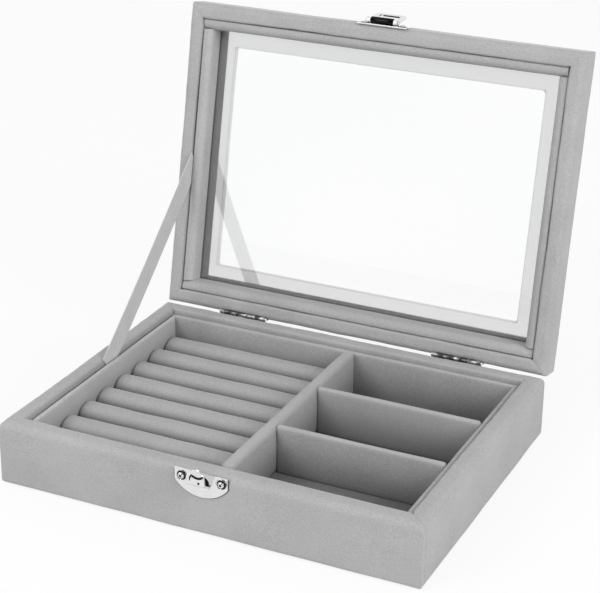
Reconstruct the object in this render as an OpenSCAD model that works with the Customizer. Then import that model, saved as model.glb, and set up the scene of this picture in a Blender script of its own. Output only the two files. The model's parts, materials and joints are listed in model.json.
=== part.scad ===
// Ring display box: a velvet-covered box with a hinged glass lid, ring rolls and three compartments.
// X runs to the right, Y to the back and Z up. The origin is the centre of the underside.
// The lid is drawn shut, in the frame of the base, and then turned open about its hinge axis.

/* [Box] */
// Width of the box, left to right
box_w = 200; // [170:1:260]
// Depth of the box, front to back
box_d = 150; // [130:1:200]
// Height of the base, with its covering
base_h = 30.5; // [28:0.5:50]
// Height of the lid, with its covering
lid_h = 17; // [16:0.5:24]
// Angle at which the ribbon stops the open lid
lid_open = 101.6; // [80:0.1:104]
// Gap between the two rims when the lid is shut
rim_gap = 0.3; // [0.2:0.1:1]

/* [Walls and covering] */
// Thickness of the base's wall boards
board_t = 6; // [5:0.5:8]
// Thickness of the lid's wall boards
lid_board_t = 4.8; // [4.6:0.1:7]
// Thickness of the velvet and its padding on a board's face
pad_t = 1.25; // [1:0.05:1.5]
// Covering over the board edges at the rims
rim_crown = 1.6; // [1.5:0.1:2.5]
// Radius of the rims on the outside
rim_r_out = 4; // [3.5:0.1:4.2]
// Radius of the rims on the inside
rim_r_in = 3; // [2.5:0.1:3.5]
// Radius of the lid's top edge
top_r = 3.6; // [3:0.1:3.8]
// Radius of the upright corners
corner_r = 3; // [2:0.1:3.5]
// Radius of the base's bottom edge
foot_r = 1.5; // [1:0.1:1.8]
// Width of the hem that is turned under the base
hem_w = 14; // [10:1:20]
// Thickness of the sheet that is glued over the hem
sheet_t = 0.5; // [0.3:0.1:1]
// Distance of that sheet's edge inside the box's outline
sheet_inset = 4; // [3:0.5:8]

/* [Base lining] */
// Thickness of the bottom board
bottom_t = 2.5; // [2:0.5:4]
// Thickness of the lined card on the floor
floor_t = 1.75; // [1:0.25:3]
// Thickness of the lined cards along the walls
liner_t = 2.7; // [2:0.1:4]
// Slot between a wall and its liner
liner_slot = 0.5; // [0.45:0.05:1]
// Drop from the rim to the edge of a liner in the base
liner_drop = 2.2; // [0.5:0.1:3]
// Thickness of the lined cards in the lid
lid_liner_t = 4.4; // [2.5:0.1:6]
// Drop from the rim to the edge of a liner in the lid
lid_liner_drop = 1; // [0.5:0.1:3]

/* [Compartments] */
// Place of the long divider's middle, from the box's middle
divider_x = 6.3; // [-20:0.1:20]
// Thickness of the long divider
divider_t = 6; // [4:0.5:8]
// Thickness of the cross dividers
cross_t = 3; // [2:0.5:5]
// Drop from the rim to the divider tops
divider_drop = 1.2; // [0.5:0.1:4]
// Number of compartments beside the rolls
compartments = 3; // [2:1:4]

/* [Ring rolls] */
// Number of foam rolls
roll_count = 8; // [6:1:10]
// Gap between two rolls
roll_gap = 0.2; // [0.1:0.1:1]
// Depth of the flat that a roll is glued down on
roll_flat = 1.7; // [1:0.1:3]
// Rounding of a roll's ends
roll_end_r = 2.2; // [1:0.1:4]

/* [Lid window] */
// Width of the covered border round the window
window_border = 20; // [16:0.5:30]
// Radius of the window's corners
window_r = 4; // [2:0.5:8]
// Thickness of the window board
window_t = 2; // [1.8:0.1:4]
// Thickness of the velvet on the window board's underside
under_t = 0.6; // [0.4:0.1:1]
// Thickness of the glass
glass_t = 1.5; // [1:0.1:2]
// Gap round the edge of the glass
glass_gap = 0.2; // [0.1:0.1:0.5]

/* [Hinges] */
// Length of a hinge
hinge_l = 24.5; // [20:0.5:34]
// Distance of a hinge's middle from the side of the box
hinge_side = 43.5; // [30:0.5:60]
// Distance of the hinge axis inside the back face
hinge_in = 0.5; // [0.3:0.1:0.8]
// Radius of a hinge's barrel
barrel_r = 1.3; // [1.2:0.05:1.35]
// Radius of the pins
pin_r = 0.6; // [0.4:0.05:0.7]
// Running clearance round a pin
pin_fit = 0.05; // [0.02:0.01:0.08]
// Thickness of the hinge leaves
leaf_t = 0.5; // [0.4:0.05:0.6]
// Reach of a leaf from the axis
leaf_h = 8.8; // [7:0.1:10]
// Number of knuckles on a hinge
knuckles = 5; // [3:2:7]
// Gap between two knuckles
knuckle_gap = 0.12; // [0.08:0.02:0.3]

/* [Catch and hasp] */
// Place of the closure, from the middle of the box
closure_x = 0.8; // [-5:0.1:5]
// Width of the half-round plates
plate_w = 25; // [22:0.5:30]
// Height of the half-round plates
plate_h = 11.7; // [10.5:0.1:13]
// Height of a plate's straight sides
plate_side = 5.4; // [4:0.1:6]
// Thickness of the plates
plate_t = 0.6; // [0.4:0.1:0.8]
// Distance from a rim to the straight edge of its plate
plate_drop = 0.3; // [0.2:0.1:1]
// Width of the hook on the catch
hook_w = 8.6; // [6:0.1:9.5]
// Thickness of the hook
hook_t = 0.9; // [0.6:0.05:1]
// Width of the hasp flap
flap_w = 15.5; // [14.5:0.1:18]
// Length of the hasp flap from its pin
flap_l = 11.7; // [10.5:0.1:12.5]
// Thickness of the hasp flap
flap_t = 0.8; // [0.6:0.1:0.9]
// Angle of the folded-back flap, from the face of the lid
flap_rest = 15; // [12:1:60]
// Radius of a nail's shank
nail_r = 0.5; // [0.3:0.05:0.6]
// Length of a nail's shank
nail_l = 5; // [3:0.5:7]

/* [Ribbon] */
// Width of the ribbon stay
ribbon_w = 10; // [6:0.5:14]
// Thickness of the ribbon stay
ribbon_t = 0.3; // [0.2:0.05:0.35]
// Sag of the ribbon in the middle of its span
ribbon_sag = 3; // [0:0.5:8]
// Length of ribbon that is glued in each slot
ribbon_tuck = 6; // [4:0.5:8]

/* [Hidden] */
$fn = 48;
eps = 0.01;
ROLL_NODES = [for (i = [1:roll_count]) str("ring_roll_", i)];
CROSS_NODES = [for (i = [1:compartments - 1]) str("cross_divider_", i)];

// Depths from the outer face of a wall: its board, its covered inner face, and its liner's two faces.
wall_in = pad_t + board_t;
wall_t = wall_in + pad_t;
liner_out = wall_t + liner_slot;
liner_in = liner_out + liner_t;
lid_wall_in = pad_t + lid_board_t;
lid_wall_t = lid_wall_in + pad_t;
lid_liner_out = lid_wall_t + liner_slot;
lid_liner_in = lid_liner_out + lid_liner_t;

// Heights in the base.
board_bottom = sheet_t + pad_t;
bottom_top = board_bottom + bottom_t;
floor_top = bottom_top + floor_t;
liner_top = base_h - liner_drop;
divider_top = base_h - divider_drop;
lining_gap = 0.1;

// Heights in the shut lid, from its rim plane.
rim_z = base_h + rim_gap;
window_top = lid_h - pad_t;
window_bottom = window_top - window_t;
glass_top = window_bottom - under_t;
glass_bottom = glass_top - glass_t;

// Space inside the liners.
inner_w = box_w - 2 * liner_in;
inner_d = box_d - 2 * liner_in;
divider_left = divider_x - divider_t / 2;
divider_right = divider_x + divider_t / 2;

// Rolls fill the depth, one pitch each.
roll_pitch = inner_d / roll_count;
roll_r = (roll_pitch - roll_gap) / 2;
roll_l = divider_left + inner_w / 2 - 2 * lining_gap;
roll_z = floor_top + roll_r - roll_flat;

// Hinge axis, on the back rim.
hinge_x = box_w / 2 - hinge_side;
axis_y = box_d / 2 - hinge_in;
axis_z = base_h + rim_gap / 2;
bore_r = pin_r + pin_fit;
leaf_clear = 0.35;
leaf_nail_x = hinge_l * 0.31;
leaf_nail_z = leaf_h * 0.72;
leaf_nail_head = 1.1;
pin_over = 0.1;
pin_head_t = 0.3;
pin_head_r = barrel_r * 0.8;
dome_rise = 0.9;
dome_round = 1.35;

// Closure. The hasp's pin lies in front of the lid's rim, and the flap hangs from it when latched.
front_y = -box_d / 2;
eye_r = 1.8;
eye_half = 5.5;
eye_sink = 0.1;
eye_rise = 0.9;
hasp_y = front_y - plate_t - eye_r + eye_sink;
hasp_z = rim_z + plate_drop + eye_rise;
ear_play = 0.15;
ear_r = eye_r - eye_sink - ear_play;
ear_gap = 0.2;
hasp_head_r = ear_r * 0.8;
plate_r = (pow(plate_w / 2, 2) + pow(plate_h - plate_side, 2)) / (2 * (plate_h - plate_side));
nail_side = 3.1;
nail_x = plate_w / 2 - nail_side;
nail_drop = 3.4;
nail_head = 1.7;
nail_ring_r = 2.15;
nail_ring_wire = 0.35;
catch_top = base_h - plate_drop;
flap_out = 0.9;
flap_bar = 2.1;
flap_corner = 1.8;
flap_top = eye_r + 0.4;
flap_bead = flap_t * 0.7;
hook_play = 0.8;
hook_clear = 0.2;
hook_corner = 2.6;
hook_out = hasp_y - eye_r - hook_clear - hook_t / 2;
hook_inset = 3.7;
hook_root = catch_top - plate_h + hook_inset;
hook_flat = 1.9;
hook_rise = 3;
hook_reach = 3.6;
hook_tip = catch_top + hook_reach;
hook_lead = 0.7;

// Rectangle with equal round corners, centred.
module round_rect(w, d, r) {
    square([w - 2 * r, d], center = true);
    square([w, d - 2 * r], center = true);
    for (x = [-1, 1], y = [-1, 1])
        translate([x * (w / 2 - r), y * (d / 2 - r)]) circle(r);
}

// Plate with equal round corners, from one height to another.
module slab(w, d, r, z0, z1) {
    translate([0, 0, z0]) linear_extrude(z1 - z0) round_rect(w, d, r);
}

// Cuts a round edge of radius r on the corner of a profile at the origin that fills the quadrant +X +Y.
module edge_cut(r) {
    difference() {
        translate([-1, -1]) square(r + 1);
        translate([r, r]) circle(r);
    }
}

// Carries a profile round the box: its X is the depth from the outer face, its Y is the height.
module around(m) {
    for (turn = [0, 180]) {
        rotate(turn) side_run(box_w, box_d, m) children();
        rotate(turn + 90) side_run(box_d, box_w, m) children();
    }
}

// One run of the covering, with mitred ends.
module side_run(length, across, m) {
    intersection() {
        translate([-length / 2, -across / 2, 0]) rotate([90, 0, 90]) linear_extrude(length) children();
        linear_extrude(base_h + lid_h)
            polygon([[-length / 2, -across / 2], [length / 2, -across / 2],
                     [length / 2 - m, -across / 2 + m], [-length / 2 + m, -across / 2 + m]]);
    }
}

// Turns what is drawn on the shut lid into its open place.
module opened() {
    translate([0, axis_y, axis_z]) rotate([-lid_open, 0, 0])
        translate([0, -axis_y, -axis_z]) children();
}

// Front or back wall board of thickness t: side is -1 or 1.
module long_board(side, z0, z1, t) {
    y0 = side < 0 ? -box_d / 2 + pad_t : box_d / 2 - pad_t - t;
    translate([-box_w / 2 + pad_t, y0, z0]) cube([box_w - 2 * pad_t, t, z1 - z0]);
}

// Left or right wall board, between the long ones.
module short_board(side, z0, z1, t) {
    x0 = side < 0 ? -box_w / 2 + pad_t : box_w / 2 - pad_t - t;
    translate([x0, -box_d / 2 + pad_t + t, z0]) cube([t, box_d - 2 * (pad_t + t), z1 - z0]);
}

// Front or back liner card between two depths, with its free edge rounded. The edge points up where up is 1.
module long_liner(side, z0, z1, up, out, in) {
    translate([-box_w / 2 + out, side * (box_d / 2 - (out + in) / 2), 0])
        rotate([90, 0, 90]) linear_extrude(box_w - 2 * out) card_section(in - out, z0, z1, up);
}

// Left or right liner card, between the long ones.
module short_liner(side, z0, z1, up, out, in) {
    translate([side * (box_w / 2 - (out + in) / 2), box_d / 2 - in, 0])
        rotate([90, 0, 0]) linear_extrude(box_d - 2 * in) card_section(in - out, z0, z1, up);
}

// Section of a covered card: a strip with one rounded edge.
module card_section(t, z0, z1, up) {
    r = t * 0.35;
    end = up > 0 ? z1 - r : z0 + r;
    translate([-t / 2, up > 0 ? z0 : end]) square([t, z1 - z0 - r]);
    translate([-t / 2 + r, up > 0 ? end - eps : z0]) square([t - 2 * r, r + eps]);
    for (x = [-1, 1])
        translate([x * (t / 2 - r), end]) circle(r);
}

module base_front_board() { color("#c8a87c") long_board(-1, board_bottom, base_h - rim_crown, board_t); }

module base_back_board() { color("#c8a87c") long_board(1, board_bottom, base_h - rim_crown, board_t); }

module base_left_board() { color("#c8a87c") short_board(-1, board_bottom, base_h - rim_crown, board_t); }

module base_right_board() { color("#c8a87c") short_board(1, board_bottom, base_h - rim_crown, board_t); }

module base_bottom_board() {
    color("#c8a87c") translate([-box_w / 2 + wall_in, -box_d / 2 + wall_in, board_bottom])
        cube([box_w - 2 * wall_in, box_d - 2 * wall_in, bottom_t]);
}

// Velvet over the outside, the rim and the inner face, with a hem turned under the bottom.
module base_velvet_cover() {
    color("#aeaeae") intersection() {
        around(hem_w) difference() {
            translate([0, sheet_t]) union() {
                square([wall_t, base_h - sheet_t]);
                square([hem_w, pad_t]);
            }
            translate([0, sheet_t]) edge_cut(foot_r);
            translate([0, base_h]) mirror([0, 1]) edge_cut(rim_r_out);
            translate([wall_t, base_h]) mirror([1, 0]) mirror([0, 1]) edge_cut(rim_r_in);
            translate([pad_t, board_bottom]) square([board_t, base_h - rim_crown - board_bottom]);
            translate([pad_t, board_bottom]) square([wall_t, bottom_t]);
        }
        slab(box_w, box_d, corner_r, sheet_t, base_h);
    }
}

// Sheet glued over the hem, with its card core inside the hem.
module base_under_sheet() {
    core_inset = hem_w + lining_gap;
    color("#8f8f90") union() {
        slab(box_w - 2 * sheet_inset, box_d - 2 * sheet_inset, corner_r, 0, sheet_t);
        slab(box_w - 2 * core_inset, box_d - 2 * core_inset, corner_r, 0, board_bottom);
    }
}

module base_floor_lining() {
    color("#9d9d9d") translate([-inner_w / 2 + lining_gap, -inner_d / 2 + lining_gap, bottom_top])
        cube([inner_w - 2 * lining_gap, inner_d - 2 * lining_gap, floor_t]);
}

module base_liner_front() { color("#a6a6a6") long_liner(-1, bottom_top, liner_top, 1, liner_out, liner_in); }

module base_liner_back() { color("#a6a6a6") long_liner(1, bottom_top, liner_top, 1, liner_out, liner_in); }

module base_liner_left() { color("#a6a6a6") short_liner(-1, bottom_top, liner_top, 1, liner_out, liner_in); }

module base_liner_right() { color("#a6a6a6") short_liner(1, bottom_top, liner_top, 1, liner_out, liner_in); }

module center_divider() {
    color("#a9a9a9") translate([divider_x, inner_d / 2 - lining_gap, 0]) rotate([90, 0, 0])
        linear_extrude(inner_d - 2 * lining_gap) card_section(divider_t, floor_top, divider_top, 1);
}

// Cross dividers share the right half evenly, counted from the front.
module cross_divider(i) {
    y = -inner_d / 2 + i * inner_d / compartments;
    x0 = divider_right + lining_gap;
    color("#a9a9a9") translate([x0, y, 0]) rotate([90, 0, 90])
        linear_extrude(inner_w / 2 - lining_gap - x0) card_section(cross_t, floor_top, divider_top, 1);
}

// Foam roll wrapped in velvet, counted from the front, glued down on its flat side.
module ring_roll(i) {
    y = -inner_d / 2 + (i - 0.5) * roll_pitch;
    color("#9a9a9a") intersection() {
        translate([-inner_w / 2 + lining_gap, y, roll_z]) rotate([0, 90, 0]) rotate_extrude() {
            square([roll_r - roll_end_r, roll_l]);
            translate([0, roll_end_r]) square([roll_r, roll_l - 2 * roll_end_r]);
            for (z = [roll_end_r, roll_l - roll_end_r])
                translate([roll_r - roll_end_r, z]) intersection() {
                    circle(roll_end_r);
                    translate([roll_end_r - roll_r, -roll_end_r]) square([roll_r, 2 * roll_end_r]);
                }
        }
        translate([-box_w / 2, -box_d / 2, floor_top]) cube([box_w, box_d, base_h]);
    }
}

module lid_front_board() { color("#c8a87c") opened() long_board(-1, rim_z + rim_crown, rim_z + window_bottom, lid_board_t); }

module lid_back_board() { color("#c8a87c") opened() long_board(1, rim_z + rim_crown, rim_z + window_bottom, lid_board_t); }

module lid_left_board() { color("#c8a87c") opened() short_board(-1, rim_z + rim_crown, rim_z + window_bottom, lid_board_t); }

module lid_right_board() { color("#c8a87c") opened() short_board(1, rim_z + rim_crown, rim_z + window_bottom, lid_board_t); }

// Window opening, made larger on every side by grow.
module window_hole(grow, z0, z1) {
    slab(box_w - 2 * window_border + 2 * grow, box_d - 2 * window_border + 2 * grow,
         window_r + grow, rim_z + z0, rim_z + z1);
}

// Board that frames the window and closes the lid's top.
module lid_window_board() {
    color("#c8a87c") opened() difference() {
        slab(box_w - 2 * pad_t, box_d - 2 * pad_t, corner_r - pad_t, rim_z + window_bottom, rim_z + window_top);
        window_hole(pad_t, window_bottom - 1, window_top + 1);
    }
}

// Velvet over the lid's walls and rim, and round the window board to its underside.
module lid_velvet_cover() {
    color("#aeaeae") opened() intersection() {
        union() {
            translate([0, 0, rim_z]) around(lid_wall_t) difference() {
                square([lid_wall_t, lid_h]);
                edge_cut(rim_r_out);
                translate([lid_wall_t, 0]) mirror([1, 0]) edge_cut(rim_r_in);
                translate([0, lid_h]) mirror([0, 1]) edge_cut(top_r);
                translate([pad_t, rim_crown]) square([lid_board_t, window_bottom - rim_crown]);
                translate([pad_t, window_bottom]) square([lid_wall_t, window_t]);
            }
            difference() {
                translate([-box_w / 2 + lid_wall_in, -box_d / 2 + lid_wall_in, rim_z + glass_top])
                    cube([box_w - 2 * lid_wall_in, box_d - 2 * lid_wall_in, lid_h - glass_top]);
                window_hole(0, glass_top - 1, lid_h + 1);
                slab(box_w, box_d, corner_r, rim_z + window_bottom, rim_z + window_top);
            }
            window_wrap();
        }
        slab(box_w, box_d, corner_r, rim_z, rim_z + lid_h);
    }
}

// Velvet round the edge of the window opening.
module window_wrap() {
    difference() {
        window_hole(pad_t, glass_top, lid_h);
        window_hole(0, glass_top - 1, lid_h + 1);
    }
}

module glass_pane() {
    color("#dfe8ea", 0.35) opened() slab(box_w - 2 * (lid_wall_t + glass_gap), box_d - 2 * (lid_wall_t + glass_gap), 1,
        rim_z + glass_bottom, rim_z + glass_top);
}

// Liner cards of the lid, from near its rim to the glass.
module lid_liner_long(side) {
    long_liner(side, rim_z + lid_liner_drop, rim_z + glass_bottom, -1, lid_liner_out, lid_liner_in);
}

module lid_liner_short(side) {
    short_liner(side, rim_z + lid_liner_drop, rim_z + glass_bottom, -1, lid_liner_out, lid_liner_in);
}

module lid_liner_front() { color("#a6a6a6") opened() lid_liner_long(-1); }

module lid_liner_back() { color("#a6a6a6") opened() lid_liner_long(1); }

module lid_liner_left() { color("#a6a6a6") opened() lid_liner_short(-1); }

module lid_liner_right() { color("#a6a6a6") opened() lid_liner_short(1); }

// Hinge leaf with its knuckles. dir is -1 for the base's leaf and 1 for the lid's, which is drawn shut.
module hinge_leaf(side, dir) {
    step = hinge_l / knuckles;
    first = dir < 0 ? 0 : 1;
    near = barrel_r + leaf_clear;
    translate([side * hinge_x, axis_y, axis_z]) difference() {
        union() {
            translate([-hinge_l / 2, hinge_in, dir > 0 ? near : -leaf_h])
                cube([hinge_l, leaf_t, leaf_h - near]);
            for (i = [first:2:knuckles - 1]) translate([-hinge_l / 2 + i * step + knuckle_gap / 2, 0, 0]) {
                rotate([0, 90, 0]) cylinder(r = barrel_r, h = step - knuckle_gap);
                translate([0, hinge_in, dir > 0 ? 0 : -near - eps])
                    cube([step - knuckle_gap, leaf_t, near + eps]);
            }
        }
        translate([-hinge_l / 2 - 1, 0, 0]) rotate([0, 90, 0]) cylinder(r = bore_r, h = hinge_l + 2);
        for (x = [-1, 1]) translate([x * leaf_nail_x, 0, dir * leaf_nail_z])
            rotate([-90, 0, 0]) cylinder(r = nail_r + pin_fit, h = hinge_in + leaf_t + 1);
    }
}

// Pin with a small head at each end.
module hinge_pin(side) {
    translate([side * hinge_x - hinge_l / 2 - pin_over, axis_y, axis_z]) rotate([0, 90, 0]) {
        cylinder(r = pin_r, h = hinge_l + 2 * pin_over);
        for (z = [-pin_head_t, hinge_l + 2 * pin_over]) translate([0, 0, z]) cylinder(r = pin_head_r, h = pin_head_t);
    }
}

// Nail with a domed head. It points along +Z, and its head's underside is at the origin.
module nail(head_r) {
    cylinder(r = nail_r, h = nail_l);
    intersection() {
        translate([0, 0, head_r * dome_rise]) sphere(head_r * dome_round);
        translate([0, 0, -head_r]) cylinder(r = head_r, h = head_r);
    }
}

// The two nails of each leaf, driven in from the back.
module leaf_nails(dir) {
    for (side = [-1, 1], x = [-1, 1])
        translate([side * hinge_x + x * leaf_nail_x, axis_y + hinge_in + leaf_t, axis_z + dir * leaf_nail_z])
            rotate([90, 0, 0]) nail(leaf_nail_head);
}

module hinge_left_base_leaf() { color("#c9cacc") hinge_leaf(-1, -1); }

module hinge_right_base_leaf() { color("#c9cacc") hinge_leaf(1, -1); }

module hinge_left_pin() { color("#b9babc") hinge_pin(-1); }

module hinge_right_pin() { color("#b9babc") hinge_pin(1); }

module hinge_base_nails() { color("#d4d5d7") leaf_nails(-1); }

module hinge_left_lid_leaf() { color("#c9cacc") opened() hinge_leaf(-1, 1); }

module hinge_right_lid_leaf() { color("#c9cacc") opened() hinge_leaf(1, 1); }

module hinge_lid_nails() { color("#d4d5d7") opened() leaf_nails(1); }

// Half-round stamped plate on a front face. Its straight edge is at the origin and its body is below.
module half_round_plate() {
    rotate([90, 0, 0]) difference() {
        union() {
            linear_extrude(plate_t) intersection() {
                translate([-plate_w / 2, -plate_h]) square([plate_w, plate_h]);
                translate([0, plate_r - plate_h]) circle(plate_r, $fn = 96);
            }
            for (x = [-1, 1]) translate([x * nail_x, -nail_drop, plate_t])
                rotate_extrude() translate([nail_ring_r, 0]) circle(nail_ring_wire);
        }
        for (x = [-1, 1]) translate([x * nail_x, -nail_drop, -1]) cylinder(r = nail_r + pin_fit, h = plate_t + 2);
    }
}

// The two nails of a half-round plate.
module plate_nails() {
    for (x = [-1, 1]) translate([x * nail_x, -plate_t, -nail_drop]) rotate([-90, 0, 0]) nail(nail_head);
}

module catch_plate() {
    color("#d9dadb") translate([closure_x, front_y, catch_top]) half_round_plate();
}

module catch_nails() {
    color("#e2e3e4") translate([closure_x, front_y, catch_top]) plate_nails();
}

// Strip of sheet metal from point a to point b, with round ends.
module strip(a, b, t) {
    v = b - a;
    translate(a) rotate(atan2(v.y, v.x)) translate([0, -t / 2]) square([norm(v), t]);
    translate(a) circle(t / 2);
    translate(b) circle(t / 2);
}

// Hook bent out of sheet: flat on the plate, out through the flap's slot, and up in front of the barrel.
module catch_hook() {
    back = front_y - plate_t - hook_t / 2;
    path = [[back, hook_root + hook_t / 2], [back, hook_root + hook_flat],
            [hook_out, hook_root + hook_flat + hook_rise], [hook_out, hook_tip - 2 * hook_lead],
            [hook_out - hook_lead, hook_tip - hook_t / 2]];
    color("#d9dadb") intersection() {
        translate([closure_x - hook_w / 2, 0, 0]) rotate([90, 0, 90]) linear_extrude(hook_w)
            for (i = [0:len(path) - 2]) strip(path[i], path[i + 1], hook_t);
        translate([closure_x, 0, (hook_root + hook_tip) / 2]) rotate([90, 0, 0])
            linear_extrude(box_d) union() {
                round_rect(hook_w, hook_tip - hook_root, hook_corner);
                translate([0, (hook_tip - hook_root) / 2 - hook_w / 2]) circle(hook_w / 2);
            }
    }
}

// Plate on the lid, upside down, with the eye that holds the pin.
module hasp_plate() {
    color("#d9dadb") opened() translate([closure_x, 0, 0]) difference() {
        union() {
            translate([0, front_y, rim_z + plate_drop]) rotate([0, 180, 0]) half_round_plate();
            translate([-eye_half, hasp_y, hasp_z]) rotate([0, 90, 0]) cylinder(r = eye_r, h = 2 * eye_half);
            translate([-eye_half, hasp_y, hasp_z + eye_r - eye_sink - plate_t])
                cube([2 * eye_half, front_y - hasp_y, plate_t]);
        }
        translate([-eye_half - 1, hasp_y, hasp_z]) rotate([0, 90, 0]) cylinder(r = bore_r, h = 2 * eye_half + 2);
    }
}

module hasp_nails() {
    color("#e2e3e4") opened() translate([closure_x, front_y, rim_z + plate_drop]) rotate([0, 180, 0]) plate_nails();
}

module hasp_pin() {
    color("#b9babc") opened() translate([closure_x - flap_w / 2, hasp_y, hasp_z]) rotate([0, 90, 0]) {
        cylinder(r = pin_r, h = flap_w);
        for (z = [-pin_head_t, flap_w]) translate([0, 0, z]) cylinder(r = hasp_head_r, h = pin_head_t);
    }
}

// Flap of two arms and a bar that drops round the hook, drawn hanging and then folded back on the lid.
module hasp_flap() {
    ear_x = eye_half + ear_gap;
    ear_w = flap_w / 2 - ear_x;
    slot_x = hook_w / 2 + hook_play;
    color("#d9dadb") opened() translate([closure_x, hasp_y, hasp_z]) rotate([-(180 - flap_rest), 0, 0])
        difference() {
            union() {
                translate([0, flap_t - flap_out, 0]) rotate([90, 0, 0]) linear_extrude(flap_t) difference() {
                    translate([0, -(flap_top + flap_l) / 2]) round_rect(flap_w, flap_l - flap_top, flap_corner);
                    translate([-slot_x, flap_bar - flap_l]) square([2 * slot_x, flap_l]);
                }
                for (x = [-flap_w / 2, ear_x]) translate([x, 0, 0]) {
                    rotate([0, 90, 0]) cylinder(r = ear_r, h = ear_w);
                    translate([0, -flap_out, -2 * flap_top]) cube([ear_w, flap_t, 2 * flap_top]);
                }
                translate([-flap_w / 2 + flap_corner, -flap_out + flap_t / 2, -flap_l + flap_bead]) rotate([0, 90, 0])
                    cylinder(r = flap_bead, h = flap_w - 2 * flap_corner);
            }
            translate([-flap_w, 0, 0]) rotate([0, 90, 0]) cylinder(r = bore_r, h = 2 * flap_w);
        }
}

// Ribbon from the base's left slot to the lid's, each in the middle of its side. The slots differ in depth,
// so the ribbon leans a little. It is drawn upright, with its thickness along X, and then turned to its span.
module ribbon_stay() {
    c = cos(lid_open);
    s = sin(lid_open);
    foot = [0, base_h];
    head = [axis_y - axis_y * c + rim_gap / 2 * s, axis_z + axis_y * s + rim_gap / 2 * c];
    span = norm(head - foot);
    lean = atan((wall_t - lid_wall_t) / span);
    steps = 16;
    back = [for (i = [0:steps]) [sag_at(i / steps) + ribbon_w / 2, span * i / steps]];
    front = [for (i = [steps:-1:0]) [sag_at(i / steps) - ribbon_w / 2, span * i / steps]];
    color("#b4b4b4") translate([-box_w / 2 + wall_t + liner_slot / 2, foot.x, foot.y])
        rotate([atan2(head.y - foot.y, head.x - foot.x) - 90, 0, 0]) rotate([0, -lean, 0])
            translate([-ribbon_t / 2, 0, 0]) rotate([90, 0, 90]) linear_extrude(ribbon_t)
                polygon(concat([[ribbon_w / 2, -ribbon_tuck]], back, [[ribbon_w / 2, span + ribbon_tuck],
                    [-ribbon_w / 2, span + ribbon_tuck]], front, [[-ribbon_w / 2, -ribbon_tuck]]));
}

// Sag of the ribbon at a share of its span.
function sag_at(share) = 4 * ribbon_sag * share * (1 - share);

base_front_board();
base_back_board();
base_left_board();
base_right_board();
base_bottom_board();
base_velvet_cover();
base_under_sheet();
base_floor_lining();
base_liner_front();
base_liner_back();
base_liner_left();
base_liner_right();
center_divider();
for (i = [1:compartments - 1])
    cross_divider(i);
for (i = [1:roll_count])
    ring_roll(i);
hinge_left_base_leaf();
hinge_right_base_leaf();
hinge_left_pin();
hinge_right_pin();
hinge_base_nails();
catch_plate();
catch_hook();
catch_nails();
lid_front_board();
lid_back_board();
lid_left_board();
lid_right_board();
lid_window_board();
lid_velvet_cover();
glass_pane();
lid_liner_front();
lid_liner_back();
lid_liner_left();
lid_liner_right();
hinge_left_lid_leaf();
hinge_right_lid_leaf();
hinge_lid_nails();
hasp_plate();
hasp_nails();
hasp_pin();
hasp_flap();
ribbon_stay();
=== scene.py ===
"""A velvet ring display box with a glass lid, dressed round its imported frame."""

import json
import math

import bmesh
import bpy
from bpy.props import FloatProperty, FloatVectorProperty, IntProperty, PointerProperty, StringProperty
from mathutils import Matrix, Vector, noise


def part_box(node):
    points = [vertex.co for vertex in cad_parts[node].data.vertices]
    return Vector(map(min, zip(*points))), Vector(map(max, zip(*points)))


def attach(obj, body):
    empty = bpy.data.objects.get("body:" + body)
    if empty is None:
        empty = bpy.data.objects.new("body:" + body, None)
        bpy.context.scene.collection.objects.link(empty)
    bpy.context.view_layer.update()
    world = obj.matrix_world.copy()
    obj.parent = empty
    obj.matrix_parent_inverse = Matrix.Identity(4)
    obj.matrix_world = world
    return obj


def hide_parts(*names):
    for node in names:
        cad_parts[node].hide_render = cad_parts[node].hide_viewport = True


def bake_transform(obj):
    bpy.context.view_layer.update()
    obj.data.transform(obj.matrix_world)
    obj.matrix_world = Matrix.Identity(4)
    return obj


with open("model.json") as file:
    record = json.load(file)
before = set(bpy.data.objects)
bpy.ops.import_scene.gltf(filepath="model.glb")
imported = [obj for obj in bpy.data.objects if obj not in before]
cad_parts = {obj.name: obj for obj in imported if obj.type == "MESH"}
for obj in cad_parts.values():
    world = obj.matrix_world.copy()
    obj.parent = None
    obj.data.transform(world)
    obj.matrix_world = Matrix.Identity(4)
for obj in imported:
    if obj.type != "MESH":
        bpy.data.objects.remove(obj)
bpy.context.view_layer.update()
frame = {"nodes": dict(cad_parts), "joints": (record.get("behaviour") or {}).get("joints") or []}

bl_info = {
    "name": "Ring Display Box",
    "version": (1, 0, 0),
    "blender": (4, 5, 0),
    "location": "View3D > Sidebar > Ring Box",
    "description": "Models the velvet, glass and nickel of a ring display box",
    "category": "Add Mesh",
}

MM = 0.001
LID_HINGE = next(j for j in frame["joints"] if j["name"] == "lid_hinge")
PIVOT = Vector(LID_HINGE["pos_m"])
OPEN_ANGLE = math.radians(LID_HINGE["range_deg"][1])
OPENED = Matrix.Translation(PIVOT) @ Matrix.Rotation(-OPEN_ANGLE, 4, "X") @ Matrix.Translation(-PIVOT)
SHUT = OPENED.inverted()

# Walls of the two shells with their covering, slots behind the liner cards, and border round the window
BASE_WALL = 8.5 * MM
LID_WALL = 7.3 * MM
SLOT = 0.5 * MM
BORDER = 20 * MM
WINDOW_RADIUS = 2 * MM

# How far the covering is pressed back at a slot, and each of the base's cards at its own slot
PRESSED = 0.2 * MM
PRESSED_CARDS = {"front": 0.2 * MM, "back": 0.5 * MM, "left": 0.35 * MM, "right": 0.05 * MM}

# How far a rim's wrinkles may rise, and how far a corner's rounding reaches over the rim
RIM_RISE = 0.12 * MM
CORNER_REACH = 4.2 * MM

# Where the dark strips beside the pale card end, from the lid's left side and from its back
SHADE_LEFT = 16.2 * MM
SHADE_BACK = 14.4 * MM

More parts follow.
